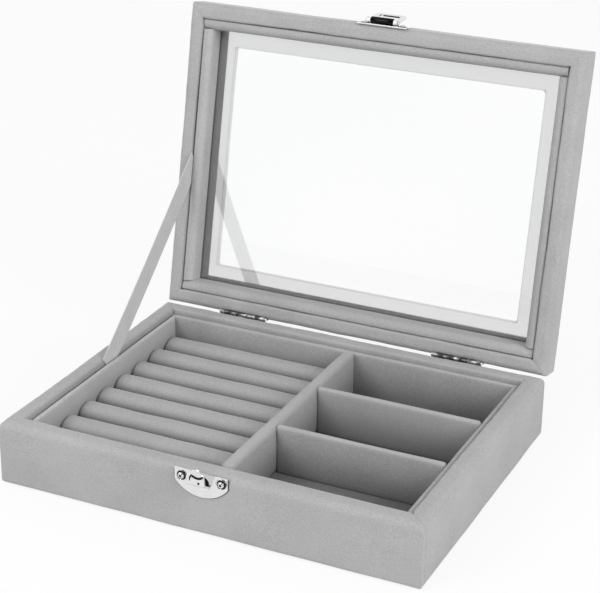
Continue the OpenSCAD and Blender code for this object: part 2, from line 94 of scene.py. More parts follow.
# Nails of the catch and the hasp: radius of the head, length in the wood, and outline in mm from the axis and
# out from the plate
NAIL_HEAD = 1.7 * MM
NAIL_LENGTH = 5 * MM
NAIL_OUTLINE = [(0.0, 0.35), (0.3, 0.35), (0.42, 0.85), (0.8, 0.95), (1.25, 0.7), (1.62, 0.15), (1.7, 0.0),
                (1.7, -0.3), (0.5, -0.3), (0.5, -4.8), (0.25, -5.0), (0.0, -5.0)]

# The catch's tongue: its flat foot, the height where it stands out fully, its leaning tip, and the radii of its
# lower corners, its front edges and its recess
FOOT = 1.9 * MM
SHOULDER = 4.9 * MM
TIP = 1.4 * MM
TIP_LEAN = 0.45 * MM
TONGUE_CORNER = 2.6 * MM
TONGUE_EDGE = 0.34 * MM
RECESS_RADIUS = 5.1 * MM

# Painted shade on the catch: the opening behind the tongue, the pit below its tip, a nail's sunk ring and pit
OPENING_RISE = 3.7 * MM
OPENING_SIZE = (3.8 * MM, 2.8 * MM)
PIT_PLACE = (1.7 * MM, -5.7 * MM)
PIT_RADIUS = 0.55 * MM
RING_SHIFT = (0.4 * MM, 0.32 * MM)
RING_RADIUS = 2.2 * MM
NAIL_PIT = 0.62 * MM

# Painted dark lines on the catch's tongue, for shade and dark reflection, in mm from its middle and down from
# its tip
SMILE = [(-2.0, -2.3), (-1.2, -2.8), (0.0, -3.3), (1.3, -3.5), (2.6, -3.2), (3.4, -2.6), (3.9, -2.0)]
LEFT_HORN = [(-1.8, -2.4), (-2.3, -3.5), (-2.6, -5.2)]

# Straight side of the catch's plate, and how far round it the painted contact shadow reaches
PLATE_SIDE = 5.4 * MM
PLATE_SHADOW = 0.4 * MM

# Distances below which two places count as the same, and a place as lying on a plane
SAME = 1e-6
NEAR = 1e-5
ON_PLANE = 1e-7


# Boxes of the frame's nodes

def node_box(name):
    """Corners of a node at rest."""
    lo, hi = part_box(name)
    return Vector(lo), Vector(hi)


def shut_box(name):
    """Corners of a lid node with the lid turned shut."""
    points = [SHUT @ v.co for v in frame["nodes"][name].data.vertices]
    lo = Vector(min(p[i] for p in points) for i in range(3))
    hi = Vector(max(p[i] for p in points) for i in range(3))
    return lo, hi


# Mesh work shared by the pieces

def cuboid(lo, hi):
    """A bmesh cube between two corners."""
    bm = bmesh.new()
    size = hi - lo
    place = Matrix.Translation((lo + hi) / 2) @ Matrix.Diagonal((*size, 1))
    bmesh.ops.create_cube(bm, size=1, matrix=place)
    return bm


def round_edges(bm, edges, radius, segments=4):
    """Rounds edges with an arc."""
    bmesh.ops.bevel(bm, geom=list(edges), offset=radius, offset_type="OFFSET", affect="EDGES",
                    segments=segments, profile=0.5, material=-1, clamp_overlap=True)


def cut(bm, point, normal, clear=False):
    """Adds edges where a plane crosses the mesh, and clears what lies beyond it where that is asked."""
    everything = bm.verts[:] + bm.edges[:] + bm.faces[:]
    return bmesh.ops.bisect_plane(bm, geom=everything, dist=ON_PLANE, plane_co=point, plane_no=normal,
                                  clear_outer=clear)["geom_cut"]


def dice(bm, step, axes=(0, 1, 2)):
    """Cuts the mesh a step apart along the axes, so that it can bend softly."""
    for axis in axes:
        low = min(v.co[axis] for v in bm.verts)
        high = max(v.co[axis] for v in bm.verts)
        count = max(1, round((high - low) / step))
        for i in range(1, count):
            point = Vector((0, 0, 0))
            point[axis] = low + (high - low) * i / count
            normal = Vector((0, 0, 0))
            normal[axis] = 1
            cut(bm, point, normal)


def puff(bm, lo, hi, height):
    """Raises the middle of each side of a block, as padding does."""
    bm.normal_update()
    middle = (lo + hi) / 2
    half = (hi - lo) / 2
    for v in bm.verts:
        weight = [max(0.0, 1 - ((v.co[i] - middle[i]) / half[i]) ** 2) for i in range(3)]
        rise = [weight[1] * weight[2], weight[0] * weight[2], weight[0] * weight[1]]
        v.co += Vector(v.normal[i] * rise[i] * height for i in range(3))


def ripple(bm, height, wavelength, seed, where=lambda place: 1.0):
    """Lets the padding rise and fall a little along the surface, by as much as where allows."""
    bm.normal_update()
    shift = Vector((seed, 2 * seed, 3 * seed))
    moves = [v.normal * height * where(v.co) * noise.noise(v.co / wavelength + shift) for v in bm.verts]
    for v, move in zip(bm.verts, moves):
        v.co += move


def groove(bm, point, normal, width, depth, share):
    """Presses a narrow fold line where a plane crosses the mesh, as deep at each place as share allows."""
    normal = normal.normalized()
    for offset in (-1.4, -0.7, 0, 0.7, 1.4):
        cut(bm, point + normal * offset * width, normal)
    bm.normal_update()
    for v in bm.verts:
        away = (v.co - point).dot(normal) / width
        if abs(away) < 1.2:
            v.co -= v.normal * depth * share(v.co) * math.exp(-3 * away * away)


def thicken(bm, faces, depth):
    """Gives flat faces that face the front a depth."""
    grown = bmesh.ops.extrude_face_region(bm, geom=faces)["geom"]
    verts = [g for g in grown if isinstance(g, bmesh.types.BMVert)]
    bmesh.ops.translate(bm, verts=verts, vec=(0, depth, 0))


def lathe(bm, places, middle, axis, steps):
    """Spins a line of places round an axis through a middle."""
    points = [bm.verts.new(place) for place in places]
    line = [bm.edges.new(pair) for pair in zip(points, points[1:])]
    bmesh.ops.spin(bm, geom=points + line, cent=middle, axis=axis, angle=math.tau, steps=steps,
                   use_merge=True)


def uprights(bm, beside=None):
    """Edges that climb, at a distance beside the middle where one is given."""
    edges = [e for e in bm.edges if abs(e.verts[0].co.z - e.verts[1].co.z) > 0.1 * MM]
    return [e for e in edges if beside is None or abs(abs(e.verts[0].co.x) - beside) < NEAR]


def clamped(value):
    """A value held from zero to one."""
    return min(1, max(0, value))


def make_piece(name, bm, body, material, replaces=(), sharp=40):
    """Turns a finished bmesh into a piece that rides on a body.

    A piece of the lid is modelled with the lid shut, and turns open with it here.
    """
    if body == "lid":
        bm.transform(OPENED)
    bmesh.ops.recalc_face_normals(bm, faces=bm.faces)
    mesh = bpy.data.meshes.new(name)
    bm.to_mesh(mesh)
    bm.free()
    mesh.shade_smooth()
    mesh.set_sharp_from_angle(angle=math.radians(sharp))
    mesh.materials.append(material)
    piece = bpy.data.objects.new(name, mesh)
    bpy.context.scene.collection.objects.link(piece)
    if body:
        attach(piece, body)
    if replaces:
        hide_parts(*replaces)
    return piece


def dress_node(name, material, edge=0.0):
    """Gives a CAD node its material, and fine edges where edge is above zero."""
    node = frame["nodes"][name]
    node.data.materials.clear()
    node.data.materials.append(material)
    if edge > 0:
        weld = node.modifiers.new("weld", "WELD")
        weld.merge_threshold = SAME
        bevel = node.modifiers.new("edges", "BEVEL")
        bevel.width = edge
        bevel.segments = 2
        bevel.limit_method = "ANGLE"
        bevel.angle_limit = math.radians(40)
        bevel.harden_normals = False


# Materials

def linear(hex_colour):
    """Linear colour of an sRGB hex value."""
    parts = [int(hex_colour[i:i + 2], 16) / 255 for i in (1, 3, 5)]
    return tuple(p / 12.92 if p <= 0.04045 else ((p + 0.055) / 1.055) ** 2.4 for p in parts)


def add(tree, kind, inputs=None, **settings):
    """Adds a node with its settings, its values and its links."""
    node = tree.nodes.new(kind)
    for key, value in settings.items():
        setattr(node, key, value)
    for key, value in (inputs or {}).items():
        if isinstance(value, bpy.types.NodeSocket):
            tree.links.new(value, node.inputs[key])
        else:
            node.inputs[key].default_value = value
    return node


def material_start(name):
    """A new material with its shader and the object's coordinates."""
    material = bpy.data.materials.get(name)
    if material:
        bpy.data.materials.remove(material)
    material = bpy.data.materials.new(name)
    material.use_nodes = True
    tree = material.node_tree
    shader = tree.nodes["Principled BSDF"]
    place = add(tree, "ShaderNodeTexCoord").outputs["Object"]
    return material, tree, shader, place


def settle(tree, shader, tone, values):
    """Gives the shader its colour and its constant values."""
    tree.links.new(tone, shader.inputs["Base Color"])
    for key, value in values.items():
        shader.inputs[key].default_value = value


def clouds(tree, place, size, detail):
    """Soft random pattern, a size apart in metres."""
    noise_node = add(tree, "ShaderNodeTexNoise", {"Vector": place, "Scale": 1 / size, "Detail": detail})
    return noise_node.outputs["Fac"]


def ranged(tree, value, given=(0.0, 1.0), wanted=(0.0, 1.0), **settings):
    """A value taken from a given range to the wanted one."""
    ends = {"From Min": given[0], "From Max": given[1], "To Min": wanted[0], "To Max": wanted[1]}
    return add(tree, "ShaderNodeMapRange", {"Value": value, **ends}, **settings).outputs["Result"]


def combined(tree, operation, one, two):
    """One number made from two."""
    return add(tree, "ShaderNodeMath", {0: one, 1: two}, operation=operation).outputs[0]


def scaled(tree, vector, share):
    """A colour or a place times a share."""
    return add(tree, "ShaderNodeVectorMath", {0: vector, 1: share}, operation="MULTIPLY").outputs["Vector"]


def shade(tree, place, size, dark, light, detail=3.0):
    """Soft patches between two colours, a size apart in metres."""
    ramp = add(tree, "ShaderNodeValToRGB", {"Fac": clouds(tree, place, size, detail)})
    for element, position, colour in zip(ramp.color_ramp.elements, (0.3, 0.7), (dark, light)):
        element.position = position
        element.color = (*colour, 1)
    return ramp.outputs["Color"]


def relief(tree, shader, height, strength, distance):
    """Lets a pattern stand up from the surface."""
    bump = add(tree, "ShaderNodeBump", {"Height": height, "Strength": strength, "Distance": distance})
    tree.links.new(bump.outputs["Normal"], shader.inputs["Normal"])


def handled(tree, shader, place, roughness):
    """Marks that fingers leave on plating, as an uneven roughness."""
    marks = clouds(tree, place, 0.9 * MM, 4.0)
    uneven = ranged(tree, marks, wanted=(roughness * 0.7, roughness * 1.3))
    tree.links.new(uneven, shader.inputs["Roughness"])


def with_painted_dark(tree, share, painted_dark_colour, metal_colour):
    """The metal's own colour where the share is one, and a painted dark where it is zero."""
    colours = {0: share, 6: (*linear(painted_dark_colour), 1), 7: (*linear(metal_colour), 1)}
    return add(tree, "ShaderNodeMix", colours, data_type="RGBA").outputs[2]


def toned(colour, share):
    """A colour made lighter or darker by a share."""
    return tuple(c * share for c in colour)


def velvet(name, hex_colour, contrast=0.05, depth=None, along="Z"):
    """Cotton velvet. Its short cut pile scatters light and glows where it is seen along the surface.

    Depth holds a place along an axis, a second place and the share of the tone there, as painted shade where
    the share is below one and painted light where it is above.
    """
    material, tree, shader, place = material_start(name)
    colour = linear(hex_colour)
    brushed = shade(tree, place, 22 * MM, toned(colour, 1 - contrast), toned(colour, 1 + contrast))
    # The pile is drawn coarser than the real 0.2 mm, so that it shows.
    tufts = clouds(tree, place, 0.7 * MM, 2.0)
    tone = scaled(tree, brushed, ranged(tree, tufts, (0.3, 0.7), (0.9, 1.1)))
    if depth:
        high, low, share = depth
        height = add(tree, "ShaderNodeSeparateXYZ", {0: place}).outputs[along]
        painted_light_share = ranged(tree, height, (low, high), (share, 1.0), interpolation_type="SMOOTHSTEP")
        tone = scaled(tree, tone, painted_light_share)
    relief(tree, shader, tufts, 0.6, 0.25 * MM)
    fabric = bpy.context.scene.ring_box_fabric
    settle(tree, shader, tone, {"Roughness": 0.95, "Specular IOR Level": 0.15, "Sheen Weight": fabric.sheen,
                                "Sheen Roughness": fabric.sheen_roughness, "Sheen Tint": (1, 1, 1, 1)})
    return material


def pale_card(name, hex_colour, glow):
    """Matt white card under the glass. It gives off a little light, for what the pane takes away."""
    material, tree, shader, place = material_start(name)
    colour = linear(hex_colour)
    tone = shade(tree, place, 30 * MM, toned(colour, 0.97), colour)
    settle(tree, shader, tone, {"Roughness": 0.9, "Emission Color": (1, 1, 1, 1), "Emission Strength": glow})
    return material


def satin_ribbon(name, hex_colour):
    """Woven polyester satin. Fine threads run along it and give it a soft lengthwise gloss."""
    material, tree, shader, _ = material_start(name)
    colour = linear(hex_colour)
    along = add(tree, "ShaderNodeUVMap").outputs["UV"]
    tone = shade(tree, along, 9 * MM, toned(colour, 0.96), toned(colour, 1.04))
    # Real threads are 0.25 mm apart. The texture has a wave every tau / 20 at a scale of one.
    drawn_apart = 0.986 * MM
    inputs = {"Vector": along, "Scale": math.tau / 20 / drawn_apart, "Distortion": 0.4}
    threads = add(tree, "ShaderNodeTexWave", inputs, bands_direction="Y")
    relief(tree, shader, threads.outputs["Fac"], 0.4, 0.05 * MM)
    settle(tree, shader, tone, {"Roughness": 0.55, "Sheen Weight": 0.2, "Sheen Roughness": 0.4})
    return material


def felt(name, hex_colour):
    """Pressed felt sheet. Its short fibres lie in all directions."""
    material, tree, shader, place = material_start(name)
    colour = linear(hex_colour)
    tone = shade(tree, place, 2.5 * MM, toned(colour, 0.9), toned(colour, 1.1), 5.0)
    relief(tree, shader, clouds(tree, place, 0.8 * MM, 6.0), 0.5, 0.1 * MM)
    settle(tree, shader, tone, {"Roughness": 0.95, "Sheen Weight": 0.2})
    return material


def fibreboard(name, hex_colour):
    """Raw medium-density fibreboard. Fine pressed fibres give it a flat, mealy face."""
    material, tree, shader, place = material_start(name)
    colour = linear(hex_colour)
    tone = shade(tree, place, 1.2 * MM, toned(colour, 0.85), toned(colour, 1.1), 6.0)
    relief(tree, shader, clouds(tree, place, 0.6 * MM, 4.0), 0.3, 0.08 * MM)
    settle(tree, shader, tone, {"Roughness": 0.85})
    return material


def bright_nickel(name, hex_colour, roughness, grain=3 * MM):
    """Stamped steel with bright nickel plating. It mirrors the room, with faint waves and handling marks."""
    material, tree, shader, place = material_start(name)
    colour = linear(hex_colour)
    tone = shade(tree, place, grain, toned(colour, 0.93), colour)
    handled(tree, shader, place, roughness)
    relief(tree, shader, clouds(tree, place, grain, 1.0), 0.25, 0.2 * MM)
    settle(tree, shader, tone, {"Metallic": 1.0})
    return material


def painted_reflection_nickel(name, hex_colour, roughness):
    """Nickel with random patches of painted dark reflection, so knuckles mirror the room in places only."""
    material, tree, shader, place = material_start(name)
    kept = ranged(tree, clouds(tree, place, 3.4 * MM, 1.0), (0.46, 0.6))
    settle(tree, shader, with_painted_dark(tree, kept, "#555556", hex_colour), {"Roughness": roughness, "Metallic": 1.0})
    return material


def painted_dark_barrel(name, hex_colour, roughness, axis, radius):
    """Bright nickel whose rolled barrel is painted near-black, as painted dark reflection."""
    material, tree, shader, place = material_start(name)
    away = add(tree, "ShaderNodeVectorMath", {0: place, 1: axis}, operation="SUBTRACT").outputs["Vector"]
    across = scaled(tree, away, (0, 1, 1))
    reach = add(tree, "ShaderNodeVectorMath", {0: across}, operation="LENGTH").outputs["Value"]
    beyond = ranged(tree, reach, (radius, radius + 0.15 * MM))
    handled(tree, shader, place, roughness)
    settle(tree, shader, with_painted_dark(tree, beyond, "#1D1D1E", hex_colour), {"Metallic": 1.0})
    return material


def painted_shade_steel(name, hex_colour):
    """Near-black steel, as painted shade in the catch's opening, lines and pits, and round its nails."""
    material, tree, shader, place = material_start(name)
    colour = linear(hex_colour)
    tone = shade(tree, place, 0.8 * MM, toned(colour, 0.8), toned(colour, 1.2))
    settle(tree, shader, tone, {"Roughness": 0.6, "Metallic": 0.5})
    return material


def pane_glass(name, index):
    """Polished sheet glass. Its index is above plain glass, so that it mirrors the white room as much."""
    material, tree, shader, place = material_start(name)
    tint = shade(tree, place, 120 * MM, linear("#FBFDFD"), linear("#FFFFFF"), 1.0)
    haze = ranged(tree, clouds(tree, place, 60 * MM, 2.0), wanted=(0.0, 0.02))
    tree.links.new(haze, shader.inputs["Roughness"])
    settle(tree, shader, tint, {"Transmission Weight": 1.0, "IOR": index})
    return material


MATERIALS = {}


def finish_of(key):
    """Makes each material once, from the colours in the settings."""
    if key in MATERIALS:
        return MATERIALS[key]
    fabric = bpy.context.scene.ring_box_fabric
    metal = bpy.context.scene.ring_box_metal
    makers = {
        "covering": lambda: velvet("covering_velvet", fabric.covering),
        # Painted shade: the lining darkens towards the bottom of the base.
        "lining": lambda: velvet("lining_velvet", fabric.lining, depth=(29 * MM, 2 * MM, 0.35)),
        # Painted light and shade: the left liner is lighter, for light from the right, and darker low down.
        "painted_light_side_lining": lambda: velvet("painted_light_side_lining_velvet", "#B1B1B1", depth=(28 * MM, 14 * MM, 0.72)),
        # Painted shade: the right liner darkens steeply towards the bottom.
        "painted_shade_lining": lambda: velvet("painted_shade_lining_velvet", fabric.lining,
                                        depth=(29.5 * MM, 10 * MM, 0.15)),
        # Painted light: the lid's left card is lighter towards the window.
        "painted_light_left_lid_lining": lambda: velvet("painted_light_left_lid_velvet", fabric.lining,
                                          depth=(-90.6 * MM, -87.9 * MM, 1.3), along="X"),
        "lid_lining": lambda: velvet("lid_lining_velvet", fabric.lining),
        # Painted shade: the rolls darken low down, between one roll and the next.
        "roll": lambda: velvet("roll_velvet", fabric.rolls, contrast=0.04,
                               depth=(19.4 * MM, 14.6 * MM, 0.25)),
        "backing": lambda: pale_card("pale_card", fabric.backing, 0.35),
        "card_edge": lambda: pale_card("card_edge", fabric.backing, 0),
        "ribbon": lambda: satin_ribbon("satin_ribbon", fabric.ribbon),
        "felt": lambda: felt("pressed_felt", "#8C8C8D"),
        "board": lambda: fibreboard("fibreboard", "#C4A67C"),
        "nickel": lambda: bright_nickel("bright_nickel", metal.nickel, metal.roughness),
        "wire": lambda: bright_nickel("nickel_wire", metal.wire, metal.roughness * 1.5, 1.5 * MM),
        # Painted dark reflections in patches on the hinges.
        "painted_reflection": lambda: painted_reflection_nickel("painted_reflection_nickel", "#A6A6A6", 0.3),
        # Painted dark reflection on the hasp's barrel.
        "barrel": lambda: painted_dark_barrel("painted_dark_barrel", metal.nickel, metal.roughness, hasp_axis(),
                                           1.85 * MM),
        # Painted shade on the catch.
        "painted_shade_marks": lambda: painted_shade_steel("painted_shade_steel", "#161617"),
        "hollow": lambda: velvet("hollow_velvet", "#ACACAC"),
        # Painted contact shadow round the catch plate.
        "pressed": lambda: velvet("painted_shadow_velvet", "#5A5A5A"),
        "glass": lambda: pane_glass("sheet_glass", metal.glass_index),
    }
    MATERIALS[key] = makers[key]()
    return MATERIALS[key]


# Settings

class RingBoxFabric(bpy.types.PropertyGroup):
    """Colours and surface of the velvet, the cards and the ribbon."""

    covering: StringProperty(name="Covering", description="sRGB colour of the velvet outside",
                             default="#A2A2A2")
    lining: StringProperty(name="Lining", description="sRGB colour of the cards and dividers",
                           default="#A2A2A2")
    rolls: StringProperty(name="Rolls", description="sRGB colour of the ring rolls", default="#A0A0A0")
    ribbon: StringProperty(name="Ribbon", description="sRGB colour of the ribbon stay", default="#C8C8C8")
    sheen: FloatProperty(name="Sheen", description="Strength of the pile's glow", default=0.35, min=0, max=1,
                         subtype="FACTOR")
    backing: StringProperty(name="Backing", description="sRGB colour of the card behind the glass",
                            default="#F2F2F2")
    rim: FloatProperty(name="Rim radius", description="Rounding of the rims' outer edges", default=3.4 * MM,
                       unit="LENGTH")
    wrinkle: FloatProperty(name="Wrinkle height", description="Rise of the small wrinkles on a rim",
                           default=0.22 * MM, unit="LENGTH")
    sheen_roughness: FloatProperty(name="Sheen spread", description="Spread of the pile's glow", default=0.35,
                                   min=0, max=1, subtype="FACTOR")
    step: FloatProperty(name="Mesh step", description="Distance between cuts in a soft surface",
                        default=2.5 * MM, unit="LENGTH")
    wave: FloatProperty(name="Wave height", description="Rise and fall of the padding", default=0.28 * MM,
                        unit="LENGTH")
    fold: FloatProperty(name="Fold depth", description="Depth of a fold line at a corner", default=0.3 * MM,
                        unit="LENGTH")


class RingBoxMetal(bpy.types.PropertyGroup):
    """Colours and surface of the hardware and the glass."""

    nickel: StringProperty(name="Nickel", description="sRGB colour of the plates", default="#E6E6E7")
    wire: StringProperty(name="Wire", description="sRGB colour of the pins and nails", default="#DADADC")
    roughness: FloatProperty(name="Roughness", description="Roughness of the plating", default=0.12, min=0,
                             max=1, subtype="FACTOR")
    edge: FloatProperty(name="Edge radius", description="Width of the fine edges on stamped metal",
                        default=0.2 * MM, unit="LENGTH")
    glass_index: FloatProperty(name="Glass index", description="Index of refraction of the pane", default=3.2,
                               min=1, max=4)


class RingBoxStage(bpy.types.PropertyGroup):
    """Camera, floor and lamps."""

    camera_place: FloatVectorProperty(name="Camera place", description="Where the camera stands",
                                      default=(318.48 * MM, -653.37 * MM, 394.64 * MM), subtype="TRANSLATION")
    camera_tilt: FloatProperty(name="Tilt", description="Camera's tilt up from straight down",
                               default=math.radians(66.63), subtype="ANGLE")
    camera_turn: FloatProperty(name="Turn", description="Camera's turn about the upright axis",
                               default=math.radians(25.29), subtype="ANGLE")
    camera_roll: FloatProperty(name="Roll", description="Camera's roll about its own axis",
                               default=math.radians(0.55), subtype="ANGLE")
    lens: FloatProperty(name="Lens", description="Focal length in millimetres", default=108.4)
    ambient: FloatProperty(name="Ambient", description="Light from the white room", default=0.78)
    right_power: FloatProperty(name="Right power", description="Power of the lamp on the right", default=10.5,
                               unit="POWER")
    left_power: FloatProperty(name="Left power", description="Power of the lamp on the left", default=8.5,
                              unit="POWER")
    floor_size: FloatProperty(name="Floor size", description="Side of the square floor", default=8.0,
                              unit="LENGTH")


# Pieces

class RINGBOX_OT_base_covering(bpy.types.Operator):
    """Velvet over the base's walls, with rounded rims and mitred folds."""

    bl_idname = "ringbox.base_covering"
    bl_label = "Base Covering"

    def execute(self, context):
        fabric = context.scene.ring_box_fabric
        lo, hi = node_box("base_velvet_cover")
        wall = BASE_WALL - PRESSED
        bm = open_ring(lo, hi, wall)
        rim_rounding(bm, lo, hi, wall, hi.z, fabric.rim, 0.35 * fabric.rim)
        round_edges(bm, loop_at(bm, lo, hi, lo.z), 1.5 * MM, 3)
        round_edges(bm, corner_chain(bm, lo, hi), 2.8 * MM, 4)
        dice(bm, fabric.step)
        ripple(bm, fabric.wave, 26 * MM, 1)
        ripple(bm, fabric.wrinkle, 5 * MM, 6, lambda place: rim_share(place.z, hi.z))
        keep_between(bm, lo.z, hi.z + RIM_RISE)
        mitre_folds(bm, lo, hi, wall, hi.z, fabric.fold)
        overlap_seams(bm, lo, hi, fabric.fold)
        make_piece("base_velvet", bm, "base", finish_of("covering"), ("base_velvet_cover",), 60)
        return {"FINISHED"}


def keep_between(bm, low, high):
    """Presses the covering flat where it would reach into what it meets: the table or the other rim."""
    for v in bm.verts:
        v.co.z = min(high, max(low, v.co.z))


def face_at(bm, height):
    """The flat face at a height."""
    return next(f for f in bm.faces if all(abs(v.co.z - height) < SAME for v in f.verts))


def open_face(bm, face, border):
    """Opens a face and leaves a border round the opening."""
    bmesh.ops.inset_region(bm, faces=[face], thickness=border, use_even_offset=True)
    bmesh.ops.delete(bm, geom=[face], context="FACES")


def open_ring(lo, hi, wall):
    """A ring of four walls with mitred tops, open in the middle."""
    bm = cuboid(lo, hi)
    for height in (hi.z, lo.z):
        open_face(bm, face_at(bm, height), wall)
    bmesh.ops.bridge_loops(bm, edges=[e for e in bm.edges if e.is_boundary])
    return bm


def loop_at(bm, lo, hi, height, inset=0.0):
    """Edges of the rectangle at a height, inset from the outline."""
    def on_line(v):
        x = min(v.co.x - lo.x, hi.x - v.co.x) - inset
        y = min(v.co.y - lo.y, hi.y - v.co.y) - inset
        return abs(v.co.z - height) < SAME and abs(min(x, y)) < SAME
    return [e for e in bm.edges if all(on_line(v) for v in e.verts)]


def rim_rounding(bm, lo, hi, wall, height, outside, inside):
    """Rounds both edges of a wall's rim."""
    round_edges(bm, loop_at(bm, lo, hi, height), outside, 6)
    round_edges(bm, loop_at(bm, lo, hi, height, wall), inside, 5)


def corner_chain(bm, lo, hi):
    """Edges that run up the outer corners and over the rims."""
    def on_corner(v):
        x = min(v.co.x - lo.x, hi.x - v.co.x)
        y = min(v.co.y - lo.y, hi.y - v.co.y)
        return abs(x - y) < NEAR and x < CORNER_REACH
    return [e for e in bm.edges if all(on_corner(v) for v in e.verts)]


def rim_share(height, rim):
    """One on the rim, falling to zero on the wall below it."""
    return max(0.0, 1 - abs(height - rim) / (4 * MM))


def four_corners(lo, hi):
    """Signs and place of each upright corner of a box."""
    for sx, x in ((-1, lo.x), (1, hi.x)):
        for sy, y in ((-1, lo.y), (1, hi.y)):
            yield sx, sy, x, y


def overlap_seams(bm, lo, hi, depth):
    """Presses the line where the velvet's end overlaps, beside each upright corner of the short sides."""
    for _, sy, x, y in four_corners(lo, hi):
        edge = Vector((x, y - sy * 3.4 * MM, lo.z))
        groove(bm, edge, Vector((0, 1, 0)), 0.35 * MM, depth,
               lambda p, edge=edge: 1.0 if abs(p.x - edge.x) < 2.4 * MM else 0.0)


def mitre_folds(bm, lo, hi, wall, height, depth):
    """Presses a fold line across the rim at each corner."""
    for sx, sy, x, y in four_corners(lo, hi):
        corner = Vector((x, y, height))

        def near(p, corner=corner):
            away = (p.xy - corner.xy).length / wall
            on_rim = abs(p.z - height) < 3.5 * MM and away < 1.7
            return min(1.0, away) ** 2 if on_rim else 0.0
        groove(bm, corner, Vector((sx, -sy, 0)), 0.9 * MM, depth, near)


class RINGBOX_OT_lid_covering(bpy.types.Operator):
    """Velvet over the lid's walls and round its window."""

    bl_idname = "ringbox.lid_covering"
    bl_label = "Lid Covering"

    def execute(self, context):
        fabric = context.scene.ring_box_fabric
        lo, hi = shut_box("lid_velvet_cover")
        under = shut_box("glass_pane")[1].z + 0.4 * MM
        bm = cuboid(lo, hi)
        open_face(bm, face_at(bm, hi.z), BORDER)
        floor = face_at(bm, lo.z)
        wall = LID_WALL - PRESSED / 2
        bmesh.ops.inset_region(bm, faces=[floor], thickness=wall, use_even_offset=True)
        ceiling = bmesh.ops.extrude_discrete_faces(bm, faces=[floor])["faces"][0]
        bmesh.ops.translate(bm, verts=ceiling.verts, vec=(0, 0, under - lo.z))
        open_face(bm, ceiling, BORDER - wall)
        bmesh.ops.bridge_loops(bm, edges=[e for e in bm.edges if e.is_boundary])
        round_edges(bm, uprights(bm, hi.x - BORDER), WINDOW_RADIUS, 6)
        rim_rounding(bm, lo, hi, wall, lo.z, fabric.rim, 0.35 * fabric.rim)
        round_edges(bm, loop_at(bm, lo, hi, hi.z), fabric.rim, 5)
        round_edges(bm, corner_chain(bm, lo, hi), 3.6 * MM, 5)
        dice(bm, fabric.step)

        def outside(place):
            inwards = min(hi.x - abs(place.x), hi.y - abs(place.y))
            return 0.0 if place.z < under + 2 * MM and inwards > LID_WALL else 1.0
        ripple(bm, fabric.wave, 26 * MM, 2, outside)
        ripple(bm, fabric.wrinkle, 5 * MM, 7, lambda place: rim_share(place.z, lo.z))
        keep_between(bm, lo.z - RIM_RISE, hi.z)
        mitre_folds(bm, lo, hi, wall, lo.z, fabric.fold)
        make_piece("lid_velvet", bm, "lid", finish_of("covering"), ("lid_velvet_cover",), 60)
        self.backing(lo, hi)
        return {"FINISHED"}

    def backing(self, lo, hi):
        """The pale card that the glass lies against, round the window, and its edge inside the opening."""
        under = shut_box("glass_pane")[1].z
        for name, outer, inner, low, high, key in (
                ("window_backing", LID_WALL, BORDER, 0.14 * MM, 0.35 * MM, "backing"),
                ("window_return", BORDER, BORDER + 0.3 * MM, 0.1 * MM, 3 * MM, "card_edge")):
            bm = open_ring(Vector((lo.x + outer, lo.y + outer, under + low)),
                           Vector((hi.x - outer, hi.y - outer, under + high)), inner - outer)
            round_edges(bm, uprights(bm, hi.x - inner), WINDOW_RADIUS, 6)
            make_piece(name, bm, "lid", finish_of(key))
        # The card's velvet shows dark at its foot, where the glass mirrors it.
        right, back = hi.x - lo.x - LID_WALL, hi.y - lo.y - LID_WALL
        for name, low, high in (("window_shade_left", (LID_WALL, LID_WALL), (SHADE_LEFT, back)),
                                ("window_shade_back", (SHADE_LEFT, hi.y - lo.y - SHADE_BACK), (right, back))):
            bm = cuboid(Vector((lo.x + low[0], lo.y + low[1], under + 0.04 * MM)),
                        Vector((lo.x + high[0], lo.y + high[1], under + 0.12 * MM)))
            make_piece(name, bm, "lid", finish_of("hollow"))


def finish_card(name, node, bm, lo, hi, body, key, seed, height=0.1 * MM):
    """Pads a rounded card by a height, covers it with velvet and puts it in a node's place."""
    fabric = bpy.context.scene.ring_box_fabric
    dice(bm, fabric.step)
    puff(bm, lo, hi, height)
    ripple(bm, fabric.wave * 0.5, 20 * MM, seed)
    piece = make_piece(name, bm, body, finish_of(key), (node,), 60)


def base_card(name, node, lo, hi, key, seed, radius, **padding):
    """A card of the base, wrapped in thin foam and velvet, with the same rounding on all its edges."""
    bm = cuboid(lo, hi)
    round_edges(bm, bm.edges, radius, 3)
    finish_card(name, node, bm, lo, hi, "base", key, seed, **padding)


def wall_side(side):
    """Axis that a wall's card faces along, and the sign of its side."""
    return (1 if side in ("front", "back") else 0), (-1 if side in ("front", "left") else 1)


def beside_slot(side, lo, hi, pressed):
    """A card's corners, pressed back at the slot, or swollen out where the amount is negative."""
    axis, sign = wall_side(side)
    lo, hi = lo.copy(), hi.copy()
    if sign < 0:
        lo[axis] += pressed
    else:
        hi[axis] -= pressed
    return lo, hi


class RINGBOX_OT_base_liners(bpy.types.Operator):
    """Velvet cards that stand along the base's walls."""

    bl_idname = "ringbox.base_liners"
    bl_label = "Base Liners"

    def execute(self, context):
        for seed, side in enumerate(("front", "back", "left", "right")):
            node = "base_liner_" + side
            lo, hi = beside_slot(side, *node_box(node), PRESSED_CARDS[side])
            key = {"left": "painted_light_side_lining", "right": "painted_shade_lining"}.get(side, "lining")
            base_card("liner_card_" + side, node, lo, hi, key, 3 + seed, 1 * MM)
        return {"FINISHED"}


